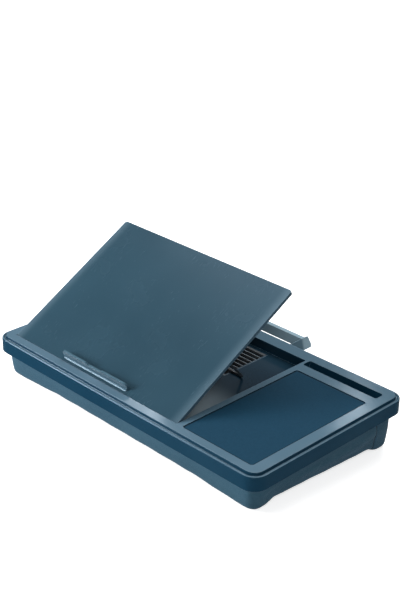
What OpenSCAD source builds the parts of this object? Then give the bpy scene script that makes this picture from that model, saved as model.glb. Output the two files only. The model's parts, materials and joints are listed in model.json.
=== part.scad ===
// Lap desk: a shallow tray on a cushion, with a lid that lifts to hold a
// notebook computer at an angle, a mouse pad, a phone slot and a carry handle.
// Millimetres, Z up. The desk rests on Z = 0 and faces the user along -Y.
// Most pieces are drawn in the tray's own frame: X from the middle, Y back
// from the front rim, Z up from the plateau. tray_frame() leans that frame
// back to where the tray sits on its wedge-shaped cushion.

/* [Tray] */
// Overall width of the tray
tray_w = 617; // [600:1:650]
// Depth of the tray, without the handle
tray_d = 355; // [345:5:400]
// Radius of the tray's corners
tray_corner_r = 25; // [18:1:32]
// Height of the skirt, plateau to lower edge
skirt_h = 28.5; // [27:0.5:34]
// Thickness of the skirt
skirt_wall = 2.8; // [2.2:0.2:3.4]
// Thickness of the plateau and of the pocket walls
deck_wall = 2.6; // [2:0.2:3.2]
// Width of the sunken band between rim and plateau
rim_band = 7.6; // [7:0.2:9]
// Drop of the rim's crest below the plateau
rim_drop = 3.5; // [2:0.5:4.5]
// Slope of the tray toward the user, in degrees
tray_slope = 3.8; // [2:0.1:6]

/* [Pockets] */
// Plateau left of the lid
left_border = 26.1; // [18:0.1:32]
// Plateau in front of the lid and the mouse pad
front_border = 23; // [21:0.5:28]
// Plateau behind the lid
rear_border = 32; // [28:0.5:40]
// Plateau right of the mouse pad
right_border = 27.7; // [22:0.1:34]
// Wall between the lid and the mouse pad
divider_w = 11.3; // [10.5:0.1:16]
// Depth of the storage pocket under the lid
pocket_depth = 18; // [17:0.5:20]
// Corner radius of the storage pocket
pocket_corner_r = 2; // [1:0.5:2]
// Width of the mouse pad's recess
pad_recess_w = 147; // [130:1:170]
// Length of the mouse pad's recess
pad_recess_d = 265; // [230:1:268]
// Depth of the mouse pad's recess
pad_recess_depth = 3; // [2:0.2:4]
// Thickness of the mouse pad
pad_thickness = 2; // [1:0.2:2.6]
// Corner radius of the mouse pad's recess
pad_corner_r = 5; // [3:0.5:8]
// Length of the phone slot
phone_slot_w = 155; // [130:1:165]
// Width of the phone slot at the plateau
phone_slot_d = 19; // [14:0.5:22]
// Depth of the phone slot
phone_slot_depth = 15; // [12:0.5:18]
// Plateau between the mouse pad and the phone slot
phone_slot_gap = 20.7; // [16:0.1:26]
// Sideways shift of the phone slot from the pad's middle
phone_slot_shift = -1.7; // [-4:0.1:3]
// Lean of the phone slot's rear wall, in degrees
phone_lean = 12; // [6:1:16]

/* [Lid] */
// Thickness of the lid's edge
lid_edge = 6; // [5.6:0.2:7]
// Thickness of the lid's top plate
lid_plate = 3.2; // [3:0.2:3.6]
// Gap at the sides of the closed lid
lid_side_gap = 0.9; // [0.6:0.1:1.5]
// Gap behind the closed lid
lid_rear_gap = 4.7; // [4:0.1:8]
// Corner radius of the lid's rear corners
lid_corner_r = 5; // [4:0.5:8]
// Angle of the raised lid above the plateau, in degrees
lid_angle = 29.6; // [27:0.1:30]
// Length of the device ledge
ledge_w = 163; // [130:1:200]
// Height of the device ledge above the lid
ledge_h = 13; // [11:0.5:16]
// Distance from the lid's front edge to the ledge's rear face
ledge_back = 15.2; // [13:0.1:18]

/* [Prop] */
// Diameter of the prop's steel wire
wire_d = 4.2; // [3.6:0.1:4.6]
// Distance from the lid's hinge to the prop's pivot
prop_reach = 137; // [130:0.5:137.5]
// Drop of the prop's pivot below the hinge line of the lid
prop_drop = 5; // [4.6:0.1:6]
// Distance of the standing prop's foot from the storage pocket's rear wall
prop_foot_back = 98; // [92:0.5:98.5]
// Distance of each prop arm from the lid's side, at its pivot
prop_side = 27.5; // [22:0.5:36]
// Draw-in of each prop arm toward the foot
prop_taper = 24; // [18:0.5:34]
// Number of slots in each rack
rack_slots = 9; // [7:1:9]
// Distance from slot to slot
rack_pitch = 10.9; // [10:0.1:11.2]
// Width of each rack
rack_w = 57; // [48:1:62]
// Width of a rung between two slots
rack_rung = 2; // [1.6:0.2:3]

/* [Handle] */
// Overall width of the handle, at its lower edge
handle_w = 128; // [110:1:140]
// Reach of the handle behind the tray
handle_reach = 54; // [46:0.5:60]
// Thickness of the handle's bar at its lower edge, front to back
handle_bar = 16.5; // [15:0.5:20]
// Width of the handle's legs at their lower edge
handle_leg = 9.5; // [8.5:0.5:14]
// Drop of the handle's top below the rim's crest
handle_drop = 3; // [2:0.5:6]
// Outward flare of the handle's outer faces toward its lower edge
handle_flare = 6; // [3:0.5:6.5]
// Rearward lean of the bar's front face
handle_lean = 5; // [2:0.5:6]
// Dip of the bar's top between the legs
handle_dip = 6; // [2:0.5:8]

/* [Cushion] */
// Distance of the cushion from the rim, all round
cushion_inset = 11; // [8:0.5:22]
// Height of the cushion at its front
cushion_front_h = 46.5; // [38:0.5:60]
// Rise of the underside between its front and rear lobes
cushion_arch = 7.5; // [2:0.5:12]
// Rise of the underside between its left and right lobes
cushion_waist = 5.5; // [2:0.5:12]
// Draw-in of the sides toward the underside
cushion_draw = 3; // [2:0.5:8]
// Radius of the cushion's lower edges
cushion_edge_r = 9; // [6:0.5:14]
// Corner radius of the cushion
cushion_corner_r = 20; // [14:1:30]

/* [Hidden] */
$fn = 48;
slop = 0.01;
seat_gap = 0.3;
fit_gap = 0.1;

navy = [0.13, 0.25, 0.35];
slate = [0.38, 0.46, 0.52];
fabric = [0.33, 0.43, 0.49];
dark = [0.07, 0.08, 0.10];
steel = [0.62, 0.63, 0.65];

// Rim section: band, crest and skirt
rim_w = rim_band + 2.4;
crest_r = 2;
groove_r = 1.6;
groove_bed = 2.8;

// Pocket and recess places in the tray's frame
pocket_w = tray_w - left_border - divider_w - pad_recess_w - right_border;
pocket_d = tray_d - front_border - rear_border;
pocket_cx = -tray_w / 2 + left_border + pocket_w / 2;
pocket_cy = front_border + pocket_d / 2;
pad_cx = tray_w / 2 - right_border - pad_recess_w / 2;
pad_cy = front_border + pad_recess_d / 2;
phone_cx = pad_cx + phone_slot_shift;
phone_y = front_border + pad_recess_d + phone_slot_gap;
phone_r = 4;
panel_h = 3;
panel_top = -skirt_h + panel_h;

// Screws
screw_d = 3;
screw_head_d = 6;
screw_head_h = 1.6;
boss_d = 8;
base_screw_grip = 10;
boss_x = tray_w / 2 - 40;
boss_places = [for (x = [-1, -1 / 3, 1 / 3, 1], y = [front_border / 2, tray_d - 12])
    [x * boss_x, y]];
small_screw_d = 2.4;
small_head_d = 4.6;
small_head_h = 1.4;

// Lid and its hinge
nose_r = lid_edge / 2;
lid_front_gap = 0.8;
hinge_y = front_border + lid_front_gap + nose_r;
hinge_z = -nose_r;
lid_w = pocket_w - 2 * lid_side_gap;
lid_len = pocket_d - lid_front_gap - lid_rear_gap - nose_r;
lid_skin = nose_r - lid_plate;
lid_rim = 2.4;
pin_d = 3;
pin_in_tray = 8.5;
pin_in_lid = 13;
pin_boss_r = 4.4;
rear_rib_back = 32.5;

// Closed lid's supports
bumper_x = 45;
bumper_d = 11;
bumper_h = 1.5;
bumper_v = lid_len - 7.5;
rest_w = 20;
rest_top = hinge_z - nose_r - bumper_h - seat_gap;
rest_front = hinge_y + bumper_v - bumper_d / 2 - 1;

// Prop linkage, solved from the standing foot
prop_top_w = lid_w - 2 * prop_side;
prop_foot_w = prop_top_w - 2 * prop_taper;
prop_foot_y = tray_d - rear_border - prop_foot_back;
wire_r = wire_d / 2;
bend_r = 8;
foot_z = -pocket_depth + wire_r + seat_gap;
pivot_y = hinge_y + prop_reach * cos(lid_angle) + prop_drop * sin(lid_angle);
pivot_z = hinge_z + prop_reach * sin(lid_angle) - prop_drop * cos(lid_angle);
prop_len = norm([prop_foot_y - pivot_y, pivot_z - foot_z]);
prop_angle = atan2(pivot_z - foot_z, prop_foot_y - pivot_y);
barrel_len = 24;
bend_thin = 0.03;
bend_lap = 2;
clip_w = 10;
clip_wall = 1.8;
clip_foot = 9;
clip_x = prop_top_w / 2 - barrel_len + 1.5 + clip_w / 2;

// Racks, mirrored about the lid's middle
rack_rail = 3;
rack_h = 4;
rack_d = rack_slots * rack_pitch + rack_rung + 2 * rack_rail;
rack_lead = 16.9;
rack_inset = 26;
rack_front = prop_foot_y - rack_lead;
rack_cx = prop_foot_w / 2 - rack_inset - rack_w / 2;
rack_bed = -panel_top - seat_gap - pocket_depth;

// Handle
handle_y = tray_d;
handle_top = -rim_drop - handle_drop;
handle_h = skirt_h + handle_top;
handle_corner_r = 4;
handle_edge_r = 3.5;
handle_rise = 10;
handle_screw_grip = 10;
handle_screw_x = handle_w / 2 - (handle_leg + handle_flare / 2) / 2;
handle_screw_z = handle_top - handle_h / 2;

// Cushion
cushion_top = -skirt_h - seat_gap;
cushion_w = tray_w - 2 * cushion_inset;
cushion_d = tray_d - 2 * cushion_inset;
cushion_front_lobe = 30;
cushion_rear_lobe = 38;
cushion_side_lobe = 34;
cushion_turn = 18;
cushion_side_turn = 120;
cushion_press = 0.5;

// Where the tray's frame stands
lift_y = cushion_inset + cushion_edge_r;
base_drop = (cushion_front_h - cushion_top) * cos(tray_slope) - lift_y * sin(tray_slope);
box_front = (rim_drop + crest_r) * sin(tray_slope);
box_back = (tray_d + handle_reach - handle_edge_r) * cos(tray_slope)
    + (skirt_h - handle_edge_r) * sin(tray_slope) + handle_edge_r;

module tray_frame() {
    translate([0, -(box_front + box_back) / 2, base_drop])
        rotate([tray_slope, 0, 0])
            children();
}

// The lid's frame: X along the hinge from the lid's middle, Y up the lid
module lid_frame() {
    tray_frame()
        translate([pocket_cx, hinge_y, hinge_z])
            rotate([lid_angle, 0, 0])
                children();
}

// The prop's frame: X along its pivots, Y toward its foot
module prop_frame() {
    lid_frame()
        translate([0, prop_reach, -prop_drop])
            rotate([-lid_angle - prop_angle, 0, 0])
                children();
}

function arc(centre, r, from, to, steps) =
    [for (i = [0:steps]) let (a = from + (to - from) * i / steps)
        centre + r * [cos(a), sin(a)]];

// A rectangle about the origin with round corners
module round_rect(w, d, r) {
    square([w - 2 * r, d], center = true);
    square([w, d - 2 * r], center = true);
    for (x = [-1, 1], y = [-1, 1])
        translate([x * (w / 2 - r), y * (d / 2 - r)])
            circle(r);
}

// A block with round corners about a point, between two heights
module round_block(centre, w, d, r, low, high) {
    translate([centre[0], centre[1], low])
        linear_extrude(high - low)
            round_rect(w, d, r);
}

// Section through the rim: X inward from the tray's face, Y up
module rim_section() {
    crest = [crest_r, -rim_drop - crest_r];
    groove = [rim_band - 2.4, -rim_drop - crest_r + groove_r];
    polygon(concat(
        [[rim_w, -deck_wall], [rim_w, 0]],
        arc([rim_band + 0.4, -0.6], 0.6, 90, 170, 4),
        arc(groove, groove_r, 0, -140, 10),
        arc(crest, crest_r, 60, 180, 12),
        arc([1, -skirt_h + 1], 1, 180, 270, 5),
        [[skirt_wall, -skirt_h],
            [skirt_wall, -rim_drop - crest_r - groove_bed],
            [rim_band, -rim_drop - crest_r - groove_bed]]));
}

// The rim section carried round the tray
module rim() {
    reach = [tray_d / 2, tray_w / 2, tray_d / 2, tray_w / 2];
    span = [tray_w, tray_d, tray_w, tray_d];
    translate([0, tray_d / 2, 0])
        for (side = [0:3])
            rotate([0, 0, 90 * side]) {
                straight = span[side] - 2 * tray_corner_r;
                translate([-straight / 2, -reach[side], 0])
                    rotate([90, 0, 90])
                        linear_extrude(straight)
                            rim_section();
                translate([straight / 2, -reach[side] + tray_corner_r, 0])
                    rotate([0, 0, -90])
                        rotate_extrude(angle = 90)
                            translate([tray_corner_r, 0])
                                mirror([1, 0])
                                    rim_section();
            }
}

// The phone slot: a straight front wall and a leaning rear wall
module phone_slot(grow, low) {
    lean = phone_slot_depth * tan(phone_lean);
    intersection() {
        round_block([phone_cx, phone_y + phone_slot_d / 2], phone_slot_w + 2 * grow,
            phone_slot_d + 2 * grow, phone_r + grow, low, slop);
        translate([phone_cx - tray_w, phone_y, 0])
            rotate([90, 0, 90])
                linear_extrude(2 * tray_w)
                    polygon([[-grow, slop], [phone_slot_d + grow, slop],
                        [phone_slot_d + grow - lean, -phone_slot_depth - grow],
                        [-grow, -phone_slot_depth - grow]]);
    }
}

module deck_solid() {
    rim();
    round_block([0, tray_d / 2], tray_w - 2 * rim_w + 1, tray_d - 2 * rim_w + 1,
        tray_corner_r - rim_w + 0.5, -deck_wall, 0);
    round_block([pocket_cx, pocket_cy], pocket_w + 2 * deck_wall, pocket_d + 2 * deck_wall,
        pocket_corner_r + deck_wall, -pocket_depth - deck_wall, 0);
    round_block([pad_cx, pad_cy], pad_recess_w + 2 * deck_wall,
        pad_recess_d + 2 * deck_wall, pad_corner_r + deck_wall,
        -pad_recess_depth - deck_wall, 0);
    phone_slot(deck_wall, -phone_slot_depth - deck_wall);
    for (place = boss_places)
        translate([place[0], place[1], panel_top])
            cylinder(d = boss_d, h = -panel_top - deck_wall + slop);
    for (side = [-1, 1])
        translate([pocket_cx + side * (pocket_w / 2 + pin_in_tray / 2),
            hinge_y, (hinge_z - pin_boss_r) / 2])
            cube([pin_in_tray + 2 * slop, 2 * pin_boss_r, pin_boss_r - hinge_z],
                center = true);
    for (side = [-1, 1])
        translate([pocket_cx + side * rack_cx, rack_front + rack_d / 2,
            (panel_top + seat_gap - pocket_depth) / 2])
            cube([rack_w + 2 * deck_wall, rack_d + 2 * deck_wall, rack_bed],
                center = true);
}

module tray_deck() {
    color(slate) tray_frame()
        difference() {
            deck_solid();
            difference() {
                round_block([pocket_cx, pocket_cy], pocket_w, pocket_d,
                    pocket_corner_r, -pocket_depth, 1);
                for (side = [-1, 1])
                    translate([pocket_cx + side * bumper_x - rest_w / 2, rest_front,
                        -pocket_depth - 1])
                        cube([rest_w, tray_d, rest_top + pocket_depth + 1]);
            }
            round_block([pad_cx, pad_cy], pad_recess_w, pad_recess_d,
                pad_corner_r, -pad_recess_depth, 1);
            phone_slot(0, -phone_slot_depth);
            for (place = boss_places)
                translate([place[0], place[1], panel_top - 1])
                    cylinder(d = screw_d + fit_gap, h = base_screw_grip + 3);
            for (side = [-1, 1])
                translate([pocket_cx + side * (pocket_w / 2 + pin_in_tray / 2),
                    hinge_y, hinge_z])
                    rotate([0, 90, 0])
                        cylinder(d = pin_d, h = pin_in_tray + 1, center = true);
            for (side = [-1, 1])
                translate([pocket_cx + side * rack_cx, rack_front + rack_d / 2,
                    -pocket_depth - rack_h / 2 + 0.5])
                    cube([rack_w, rack_d, rack_h + 1], center = true);
            for (side = [-1, 1])
                translate([side * handle_screw_x, tray_d, handle_screw_z])
                    rotate([90, 0, 0])
                        cylinder(d = screw_d + fit_gap, h = 3 * skirt_wall, center = true);
        }
}

// A screw along +Z: its head's outer face is at 0
module screw(d, len, head_d, head_h) {
    difference() {
        union() {
            cylinder(d = head_d, h = head_h);
            cylinder(d = d, h = len);
        }
        for (turn = [0, 90])
            rotate([0, 0, turn])
                cube([head_d * 0.6, head_d * 0.14, head_h], center = true);
    }
}

module base_panel() {
    color(dark) tray_frame()
        difference() {
            round_block([0, tray_d / 2], tray_w - 2 * (skirt_wall + seat_gap),
                tray_d - 2 * (skirt_wall + seat_gap),
                tray_corner_r - skirt_wall - seat_gap, -skirt_h, panel_top);
            for (place = boss_places)
                translate([place[0], place[1], -skirt_h - slop]) {
                    cylinder(d = screw_head_d + 2 * fit_gap, h = screw_head_h + slop);
                    cylinder(d = screw_d + fit_gap, h = panel_h + 1);
                }
        }
}

module base_screws() {
    color(steel) tray_frame()
        for (place = boss_places)
            translate([place[0], place[1], -skirt_h])
                screw(screw_d, panel_h + base_screw_grip, screw_head_d, screw_head_h);
}

// The cushion's underside: the height of a point below the tray, in its frame.
// It follows the floor and rises between the lobes at its four corners.
function floor_z(y) = cushion_top - cushion_front_h - (y - lift_y) * tan(tray_slope);
function smooth(t) = let (c = max(0, min(1, t))) c * c * (3 - 2 * c);
function arch(x, y) =
    let (front = cushion_inset + cushion_front_lobe,
        back = tray_d - cushion_inset - cushion_rear_lobe,
        side = cushion_w / 2 - cushion_side_lobe,
        along = smooth((y - front) / cushion_turn) * smooth((back - y) / cushion_turn),
        across = smooth((side - abs(x)) / cushion_side_turn))
    cushion_arch * along + cushion_waist * across * (1 - along);
function underside(x, y) = floor_z(y) + arch(x, y) - cushion_press;

cushion_side_steps = 18;
cushion_front_steps = 10;
cushion_corner_steps = 6;
cushion_side_rings = 5;
cushion_edge_rings = 4;

function corner_points(q, w, d, r) =
    let (sx = [1, -1, -1, 1][q], sy = [1, 1, -1, -1][q])
    arc([sx * (w / 2 - r), sy * (d / 2 - r)], r, 90 * q, 90 * q + 90, cushion_corner_steps);
function between(a, b, steps) = [for (i = [1:steps - 1]) a + (b - a) * i / steps];
function outline(inset) =
    let (w = cushion_w - 2 * inset, d = cushion_d - 2 * inset,
        r = max(cushion_corner_r - inset, 4),
        c = [for (q = [0:3]) corner_points(q, w, d, r)])
    [for (q = [0:3]) each concat(c[q],
        between(c[q][cushion_corner_steps], c[(q + 1) % 4][0],
            q % 2 == 0 ? cushion_front_steps : cushion_side_steps))];

// The sides draw in toward the underside and swell a little on the way
function side_inset(h) = cushion_draw * h - 1.2 * sin(180 * h);
function side_ring(j) =
    let (h = j / cushion_side_rings)
    [for (p = outline(side_inset(h)))
        let (y = p[1] + tray_d / 2, low = underside(p[0], y) + cushion_edge_r)
        [p[0], y, cushion_top + (low - cushion_top) * h]];
function edge_ring(j) =
    let (a = 90 * j / cushion_edge_rings,
        inset = side_inset(1) + cushion_edge_r * (1 - cos(a)))
    [for (p = outline(inset))
        let (y = p[1] + tray_d / 2)
        [p[0], y, underside(p[0], y) + cushion_edge_r * (1 - sin(a))]];
function under_ring(f) =
    [for (p = outline(side_inset(1) + cushion_edge_r))
        let (y = p[1] * f + tray_d / 2)
        [p[0] * f, y, underside(p[0] * f, y)]];

module cushion_form() {
    rings = concat([for (j = [0:cushion_side_rings]) side_ring(j)],
        [for (j = [1:cushion_edge_rings]) edge_ring(j)],
        [for (f = [0.93, 0.88, 0.77, 0.5, 0.2]) under_ring(f)]);
    count = len(rings[0]);
    last = len(rings) - 1;
    top_middle = [0, tray_d / 2, cushion_top];
    low_middle = [0, tray_d / 2, underside(0, tray_d / 2)];
    points = concat([for (ring = rings) each ring], [top_middle, low_middle]);
    top_index = len(points) - 2;
    low_index = len(points) - 1;
    faces = concat(
        [for (j = [0:last - 1], i = [0:count - 1])
            let (a = j * count + i, b = j * count + (i + 1) % count)
            [a, b, b + count]],
        [for (j = [0:last - 1], i = [0:count - 1])
            let (a = j * count + i, b = j * count + (i + 1) % count)
            [a, b + count, a + count]],
        [for (i = [0:count - 1]) [top_index, (i + 1) % count, i]],
        [for (i = [0:count - 1]) [low_index, last * count + i, last * count + (i + 1) % count]]);
    polyhedron(points, faces);
}

module cushion() {
    color(fabric)
        difference() {
            tray_frame() cushion_form();
            translate([-tray_w, -tray_w, -tray_w])
                cube([2 * tray_w, 2 * tray_w, tray_w]);
        }
}

module mouse_pad() {
    color(navy) tray_frame()
        round_block([pad_cx, pad_cy], pad_recess_w - 2 * seat_gap,
            pad_recess_d - 2 * seat_gap, pad_corner_r - seat_gap,
            -pad_recess_depth, -pad_recess_depth + pad_thickness);
}

// A thin grip strip on the floor of the phone slot
module phone_slot_pad() {
    strip_h = 1.2;
    strip_d = phone_slot_d - phone_slot_depth * tan(phone_lean) - 2;
    color(dark) tray_frame()
        round_block([phone_cx, phone_y + 1 + strip_d / 2], phone_slot_w - 4, strip_d, 3,
            -phone_slot_depth, -phone_slot_depth + strip_h);
}

module prop_rack(side) {
    color(dark) tray_frame()
        translate([pocket_cx + side * rack_cx, rack_front, -pocket_depth - rack_h])
            difference() {
                translate([-rack_w / 2 + fit_gap, fit_gap, 0])
                    cube([rack_w - 2 * fit_gap, rack_d - 2 * fit_gap, rack_h]);
                for (i = [0:rack_slots - 1])
                    translate([-rack_w / 2 + rack_rail,
                        rack_rail + rack_rung + i * rack_pitch, -1])
                        cube([rack_w - 2 * rack_rail, rack_pitch - rack_rung, rack_h + 2]);
            }
}
module prop_rack_left() { prop_rack(-1); }
module prop_rack_right() { prop_rack(1); }

// The handle's outline from above, round at its rear corners
module handle_outline() {
    translate([0, handle_reach / 2])
        round_rect(handle_w, handle_reach, handle_corner_r);
    translate([-handle_w / 2, 0])
        square([handle_w, handle_reach / 2]);
}

// The space between the legs: the bar's front face leans to the rear
module handle_gap() {
    inner_w = handle_w - 2 * handle_leg;
    low = handle_top - handle_h;
    back = handle_reach - handle_bar;
    lean = handle_lean / handle_h;
    translate([-inner_w / 2, 0, 0])
        rotate([90, 0, 90])
            linear_extrude(inner_w)
                polygon([[-1, low - 1], [back - lean, low - 1],
                    [back + handle_lean + lean, handle_top + 1], [-1, handle_top + 1]]);
}

// Half of the handle from behind: its side flares and its top dips inward
module handle_half_face() {
    half = handle_w / 2;
    low = handle_top - handle_h;
    shoulder = half - handle_flare;
    steps = 8;
    polygon(concat(
        [[0, low]],
        arc([half - handle_edge_r, low + handle_edge_r], handle_edge_r, -90, 0, 6),
        [[shoulder, handle_top]],
        [for (i = [1:steps]) let (t = i / steps)
            [shoulder - handle_rise * t, handle_top - handle_dip * smooth(t)]],
        [[0, handle_top - handle_dip]]));
}

// The handle from the side: its rear face flares toward the lower edge
module handle_side_face() {
    low = handle_top - handle_h;
    polygon(concat(
        [[-slop, handle_top], [-slop, low]],
        arc([handle_reach - handle_edge_r, low + handle_edge_r], handle_edge_r, -90, 0, 6),
        [[handle_reach - handle_flare, handle_top]]));
}

module carry_handle() {
    color(slate) tray_frame()
        translate([0, handle_y, 0])
            difference() {
                intersection() {
                    translate([0, 0, handle_top - handle_h])
                        linear_extrude(handle_h)
                            handle_outline();
                    for (side = [0, 1])
                        mirror([side, 0, 0])
                            translate([0, 2 * handle_reach, 0])
                                rotate([90, 0, 0])
                                    linear_extrude(4 * handle_reach)
                                        handle_half_face();
                    translate([-handle_w, 0, 0])
                        rotate([90, 0, 90])
                            linear_extrude(2 * handle_w)
                                handle_side_face();
                }
                handle_gap();
                for (side = [-1, 1])
                    translate([side * handle_screw_x, -slop, handle_screw_z])
                        rotate([-90, 0, 0])
                            cylinder(d = screw_d + fit_gap, h = handle_screw_grip + 2);
            }
}

module handle_screws() {
    color(steel) tray_frame()
        for (side = [-1, 1])
            translate([side * handle_screw_x, handle_y - skirt_wall - screw_head_h,
                handle_screw_z])
                rotate([-90, 0, 0])
                    screw(screw_d, screw_head_h + skirt_wall + handle_screw_grip,
                        screw_head_d, screw_head_h);
}

module hinge_pin(side) {
    inner = pocket_w / 2 - lid_side_gap - pin_in_lid;
    outer = pocket_w / 2 + pin_in_tray;
    color(steel) tray_frame()
        translate([pocket_cx + side * (inner + outer) / 2, hinge_y, hinge_z])
            rotate([0, 90, 0])
                cylinder(d = pin_d, h = outer - inner, center = true);
}
module hinge_pin_left() { hinge_pin(-1); }
module hinge_pin_right() { hinge_pin(1); }

// The lid's outline from above, square at the hinge and round behind
module lid_outline(inset) {
    w = lid_w - 2 * inset;
    far = lid_len - inset;
    r = lid_corner_r - inset;
    translate([-w / 2, inset])
        square([w, far - inset - r]);
    translate([-w / 2 + r, inset])
        square([w - 2 * r, far - inset]);
    for (side = [-1, 1])
        translate([side * (w / 2 - r), far - r])
            circle(r);
}

ledge_screw_x = [-ledge_w / 2 + 20, 0, ledge_w / 2 - 20];
ledge_screw_v = ledge_back - nose_r - 2;

// Stiffening ribs under the lid, clear of the folded prop
module lid_ribs() {
    rib = 1.8;
    rib_low = -nose_r;
    rib_high = lid_skin + slop;
    front_rows = [38, 74, 110];
    rear_row = lid_len - rear_rib_back;
    for (v = concat(front_rows, [rear_row]))
        translate([-lid_w / 2 + 1, v, rib_low])
            cube([lid_w - 2, rib, rib_high - rib_low]);
    for (k = [-3:3])
        translate([k * lid_w / 8 - rib / 2, 1, rib_low])
            cube([rib, front_rows[2], rib_high - rib_low]);
    for (k = [-2:2])
        translate([k * prop_foot_w / 5 - rib / 2, front_rows[2], rib_low])
            cube([rib, prop_reach + prop_len - 10 - front_rows[2], rib_high - rib_low]);
    for (k = [-3:3])
        translate([k * lid_w / 8 - rib / 2, rear_row, rib_low])
            cube([rib, lid_len - rear_row - 1, rib_high - rib_low]);
}

module laptop_platform() {
    color(slate) lid_frame()
        difference() {
            union() {
                translate([0, 0, lid_skin])
                    linear_extrude(lid_plate)
                        lid_outline(0);
                translate([0, 0, -nose_r])
                    linear_extrude(lid_edge)
                        difference() {
                            lid_outline(0);
                            lid_outline(lid_rim);
                        }
                rotate([0, 90, 0])
                    cylinder(r = nose_r, h = lid_w, center = true);
                lid_ribs();
                for (side = [-1, 1])
                    translate([side * bumper_x, bumper_v, -nose_r])
                        cylinder(d = bumper_d, h = lid_edge - 1);
            }
            for (side = [-1, 1])
                translate([side * (lid_w / 2 - pin_in_lid / 2), 0, 0])
                    rotate([0, 90, 0])
                        cylinder(d = pin_d + 2 * fit_gap, h = pin_in_lid + 1, center = true);
            for (x = ledge_screw_x)
                translate([x, ledge_screw_v, -nose_r - 1]) {
                    cylinder(d = small_screw_d + fit_gap, h = lid_edge + 2);
                    cylinder(d = small_head_d + 1, h = nose_r + 1 + lid_skin);
                }
            for (side = [-1, 1])
                translate([side * clip_x, prop_reach - clip_foot / 2 - wire_r - clip_wall,
                    lid_skin - slop])
                    cylinder(d = small_screw_d + fit_gap, h = 2.2);
        }
}

// The ledge's section: a hollow ramp up to a thin upright edge
module ledge_section() {
    back = ledge_back - nose_r;
    ramp = 5.8;
    lip = 3;
    front = back - lip - ramp;
    steps = 12;
    polygon(concat(
        [for (i = [0:steps]) let (a = 90 * i / steps)
            [front + ramp * sin(a), nose_r + ledge_h * (1 - cos(a))]],
        [[back, nose_r + ledge_h], [back, nose_r]]));
}

// The ledge seen from the front: two tabs with a low saddle between
module ledge_face() {
    tab_r = 8;
    saddle_w = 28;
    saddle_h = 4;
    slope = 6;
    half = ledge_w / 2;
    top = nose_r + ledge_h;
    polygon(concat(
        [[-half, nose_r]],
        arc([-half + tab_r, top - tab_r], tab_r, 180, 90, 8),
        [[-saddle_w / 2 - slope, top], [-saddle_w / 2, top - saddle_h],
            [saddle_w / 2, top - saddle_h], [saddle_w / 2 + slope, top]],
        arc([half - tab_r, top - tab_r], tab_r, 90, 0, 8),
        [[half, nose_r]]));
}

module device_ledge() {
    flare = 9;
    color(slate) lid_frame()
        difference() {
            intersection() {
                translate([-ledge_w / 2, 0, 0])
                    rotate([90, 0, 90])
                        linear_extrude(ledge_w)
                            ledge_section();
                translate([0, ledge_back, 0])
                    rotate([90, 0, 0])
                        linear_extrude(2 * ledge_back)
                            ledge_face();
                linear_extrude(ledge_h + lid_edge)
                    polygon([[-ledge_w / 2, ledge_back - nose_r],
                        [ledge_w / 2, ledge_back - nose_r],
                        [ledge_w / 2, ledge_back - nose_r - 2.5],
                        [ledge_w / 2 - flare, 0], [-ledge_w / 2 + flare, 0],
                        [-ledge_w / 2, ledge_back - nose_r - 2.5]]);
            }
            for (x = ledge_screw_x)
                translate([x, ledge_screw_v, nose_r - 1])
                    cylinder(d = small_screw_d + fit_gap, h = 7);
        }
}

module ledge_screws() {
    color(steel) lid_frame()
        for (x = ledge_screw_x)
            translate([x, ledge_screw_v, lid_skin - small_head_h])
                screw(small_screw_d, small_head_h + lid_plate + 5, small_head_d, small_head_h);
}

module platform_bumpers() {
    color(dark) lid_frame()
        for (side = [-1, 1])
            translate([side * bumper_x, bumper_v, -nose_r - bumper_h])
                cylinder(d = bumper_d - 1, h = bumper_h);
}

// A clip that holds one end of the prop under the lid
module bail_clip(side) {
    ear = wire_r + clip_wall;
    color(dark) lid_frame()
        translate([side * clip_x, prop_reach, 0])
            difference() {
                union() {
                    translate([0, 0, -prop_drop])
                        rotate([0, 90, 0])
                            cylinder(r = ear, h = clip_w, center = true);
                    translate([-clip_w / 2, -ear, -prop_drop])
                        cube([clip_w, 2 * ear, prop_drop + lid_skin]);
                    translate([-clip_w / 2, -ear - clip_foot, lid_skin - clip_wall])
                        cube([clip_w, clip_foot + 1, clip_wall]);
                }
                translate([0, 0, -prop_drop])
                    rotate([0, 90, 0])
                        cylinder(r = wire_r + fit_gap, h = clip_w + 2, center = true);
                translate([0, -ear - clip_foot / 2, lid_skin - clip_wall - 1])
                    cylinder(d = small_screw_d + fit_gap, h = clip_wall + 2);
            }
}
module bail_clip_left() { bail_clip(-1); }
module bail_clip_right() { bail_clip(1); }

module bail_clip_screws() {
    color(steel) lid_frame()
        for (side = [-1, 1])
            translate([side * clip_x, prop_reach - clip_foot / 2 - wire_r - clip_wall,
                lid_skin - clip_wall - small_head_h])
                screw(small_screw_d, small_head_h + clip_wall + 2, small_head_d, small_head_h);
}

// A straight of round wire between two points of the prop's plane
module wire_run(a, b) {
    run = b - a;
    translate([a[0], a[1], 0])
        rotate([0, 0, atan2(run[1], run[0])])
            rotate([0, 90, 0])
                cylinder(r = wire_r, h = norm(run));
}

// A left-hand bend of the wire from point a, a hair thinner than the straights
// and lapped into them at both ends
module wire_bend(a, heading, turn) {
    translate([a[0], a[1], 0])
        rotate([0, 0, heading])
            translate([0, bend_r, 0])
                rotate([0, 0, -90 - bend_lap])
                    rotate_extrude(angle = turn + 2 * bend_lap)
                        translate([bend_r, 0])
                            circle(wire_r - bend_thin);
}

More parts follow.
